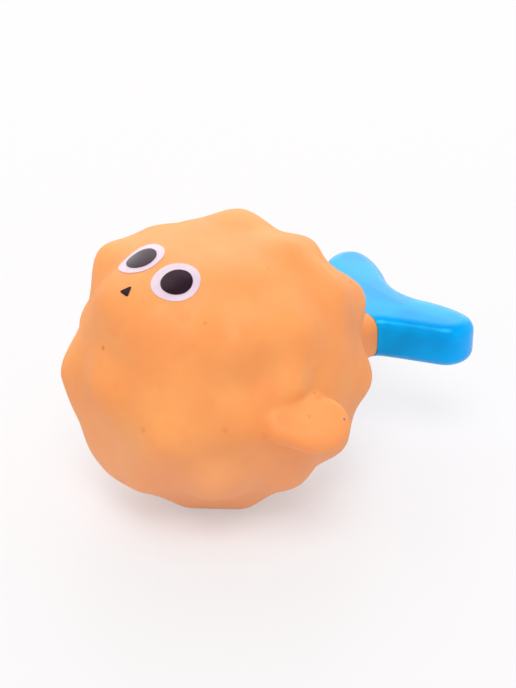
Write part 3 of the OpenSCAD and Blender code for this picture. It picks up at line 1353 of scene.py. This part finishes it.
@dataclass
class Studio:
    """White table, soft lights and the camera at the photograph's angle.

    Attributes:
        behind: where the brighter wall lies.
        glow_level: how much brighter it is.
        glow_rise: from where to where it brightens, as cosines of the angle to its middle.
        ceiling_rise: from where to where the walls give way to the ceiling, as sines of the height.
        table_glow: how bright the table's glow is.
        table_glow_share: how much of it is seen far from the toy, and contact_share close to it.
        contact_reach: how far the toy keeps the glow off the table.
        contact_open: how much of the sky is open where contact_share holds.
    """

    azimuth: float = math.radians(53)
    elevation: float = math.radians(31)
    distance: float = 600 * MM
    aim: Vector = field(default_factory=lambda: Vector((0, 0, 35.5 * MM)))
    focal_px: float = 2400
    frame_px: tuple[int, int] = (516, 688)
    aim_px: tuple[float, float] = (218, 358)
    floor_colour: str = "#eae5e9"
    wall_level: float = 0.84
    ceiling_level: float = 0.35
    glow_level: float = 1.3
    behind: Vector = field(default_factory=lambda: Vector((-0.65, 0.5, 0.57)).normalized())
    lamp_way: Vector = field(default_factory=lambda: Vector((0.35, -0.3, 1)).normalized())
    lamp_level: float = 1.55
    lamp_spread: float = math.radians(32)
    table_glow: float = 0.935
    table_glow_share: float = 0.72
    contact_share: float = 0.45
    contact_reach: float = 18 * MM
    contact_open: float = 0.25
    glow_rise: tuple[float, float] = (0.6, 0.95)
    ceiling_rise: tuple[float, float] = (0.5, 0.8)
    floor_size: float = 8000 * MM
    sensor_mm: float = 36
    clip_start: float = 10 * MM

    def camera(self) -> bpy.types.Object:
        """Place the camera.

        Returns:
            The camera object.
        """
        back = Vector((
            math.sin(self.azimuth) * math.cos(self.elevation),
            -math.cos(self.azimuth) * math.cos(self.elevation),
            math.sin(self.elevation),
        ))
        data = bpy.data.cameras.new("camera")
        data.sensor_fit = "AUTO"
        data.sensor_width = self.sensor_mm
        long_side = max(self.frame_px)
        data.lens = self.sensor_mm * self.focal_px / long_side
        data.shift_x = (self.frame_px[0] / 2 - self.aim_px[0]) / long_side
        data.shift_y = (self.aim_px[1] - self.frame_px[1] / 2) / long_side
        data.clip_start = self.clip_start
        camera = bpy.data.objects.new("camera", data)
        bpy.context.collection.objects.link(camera)
        camera.location = self.aim + back * self.distance
        camera.rotation_euler = back.to_track_quat("Z", "Y").to_euler()
        bpy.context.scene.camera = camera
        return camera

    def floor(self) -> bpy.types.Object:
        """Lay the white table top.

        Returns:
            The floor object.
        """
        deselect_all()
        bpy.ops.mesh.primitive_plane_add(size=self.floor_size)
        floor = bpy.context.object
        floor.name = "floor"
        material, tree = blank_material("white studio table")
        shader = add_node(
            tree, "BsdfPrincipled",
            {"Base Color": linear(self.floor_colour), "Roughness": 0.3, "Specular IOR Level": 0.3},
        )
        # The table seems partly lit from within, to the camera and to all that mirrors it or lets its view
        # through, and that glow lights nothing
        glow = add_node(tree, "Emission", {"Color": (1, 1, 1, 1), "Strength": self.table_glow})
        path = add_node(tree, "LightPath").outputs
        mirrored = add_node(
            tree, "Math", {0: path["Is Glossy Ray"], 1: path["Is Transmission Ray"]}, operation="MAXIMUM"
        ).outputs[0]
        # Close to the toy the camera sees less of the glow, and more of the shadow and of the toy's colour
        open_sky = add_node(tree, "AmbientOcclusion", {"Distance": self.contact_reach}).outputs["AO"]
        contact = add_node(
            tree, "MapRange",
            {
                "Value": open_sky, "From Min": self.contact_open,
                "To Min": self.contact_share, "To Max": self.table_glow_share,
            },
        ).outputs["Result"]
        seen = add_node(tree, "Math", {0: path["Is Camera Ray"], 1: contact}, operation="MULTIPLY").outputs[0]
        share = add_node(
            tree, "Math", {0: mirrored, 1: self.table_glow_share, 2: seen}, operation="MULTIPLY_ADD"
        )
        mixed = add_node(tree, "MixShader", {0: share.outputs[0], 1: shader.outputs[0], 2: glow.outputs[0]})
        add_node(tree, "OutputMaterial", {"Surface": mixed.outputs[0]})
        dress(floor, material)
        return floor

    def lights(self) -> None:
        """Light the table with a white room and one broad lamp from above."""
        world = bpy.data.worlds.new("white room")
        bpy.context.scene.world = world
        world.use_nodes = True
        tree = world.node_tree
        tree.nodes.clear()
        # White walls with a dimmer ceiling above them, and a brighter wall behind the toy, which shows in the
        # tail's top and in the crown of the body
        way = add_node(tree, "TexCoord").outputs["Generated"]
        rise = add_node(tree, "SeparateXYZ", {"Vector": way}).outputs["Z"]
        level = add_node(
            tree, "MapRange",
            {
                "Value": rise, "From Min": self.ceiling_rise[0], "From Max": self.ceiling_rise[1],
                "To Min": self.wall_level, "To Max": self.ceiling_level,
            },
            interpolation_type="SMOOTHSTEP",
        ).outputs["Result"]
        behind = add_node(
            tree, "VectorMath", {0: way, 1: self.behind}, operation="DOT_PRODUCT"
        ).outputs["Value"]
        glow = add_node(
            tree, "MapRange",
            {
                "Value": behind, "From Min": self.glow_rise[0], "From Max": self.glow_rise[1],
                "To Max": self.glow_level,
            },
            interpolation_type="SMOOTHSTEP",
        ).outputs["Result"]
        level = add_node(tree, "Math", {0: level, 1: glow}, operation="ADD").outputs[0]
        background = add_node(tree, "Background", {"Color": (1, 1, 1, 1), "Strength": level})
        add_node(tree, "OutputWorld", {"Surface": background.outputs[0]})
        data = bpy.data.lights.new("overhead lamp", "SUN")
        data.energy = self.lamp_level
        data.angle = self.lamp_spread
        lamp = bpy.data.objects.new("overhead lamp", data)
        bpy.context.collection.objects.link(lamp)
        lamp.rotation_euler = self.lamp_way.to_track_quat("Z", "Y").to_euler()

    def build(self) -> None:
        """Set up the camera, the floor and the lights."""
        self.camera()
        self.floor()
        self.lights()


def main() -> None:
    """Build the toy's looks round its frame."""
    logging.basicConfig(level=logging.INFO, format="%(name)s: %(message)s")
    bpy.context.scene.view_settings.view_transform = "Standard"
    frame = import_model()
    Studio().build()

    body = Body()
    skin = body.build()
    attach(skin, "body")
    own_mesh(skin)
    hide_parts("body_shell")
    report(skin)

    tail = Tail().build(body)
    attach(tail, "tail")
    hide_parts("tail")
    report(tail)

    face = Face()
    for item, film in face.build(body):
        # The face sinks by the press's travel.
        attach(film, "face")
        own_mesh(film)
        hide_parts(item.name)
        report(film)

    for piece in Squeaker().build(frame["nodes"]):
        report(piece)


if __name__ == "__main__":
    main()
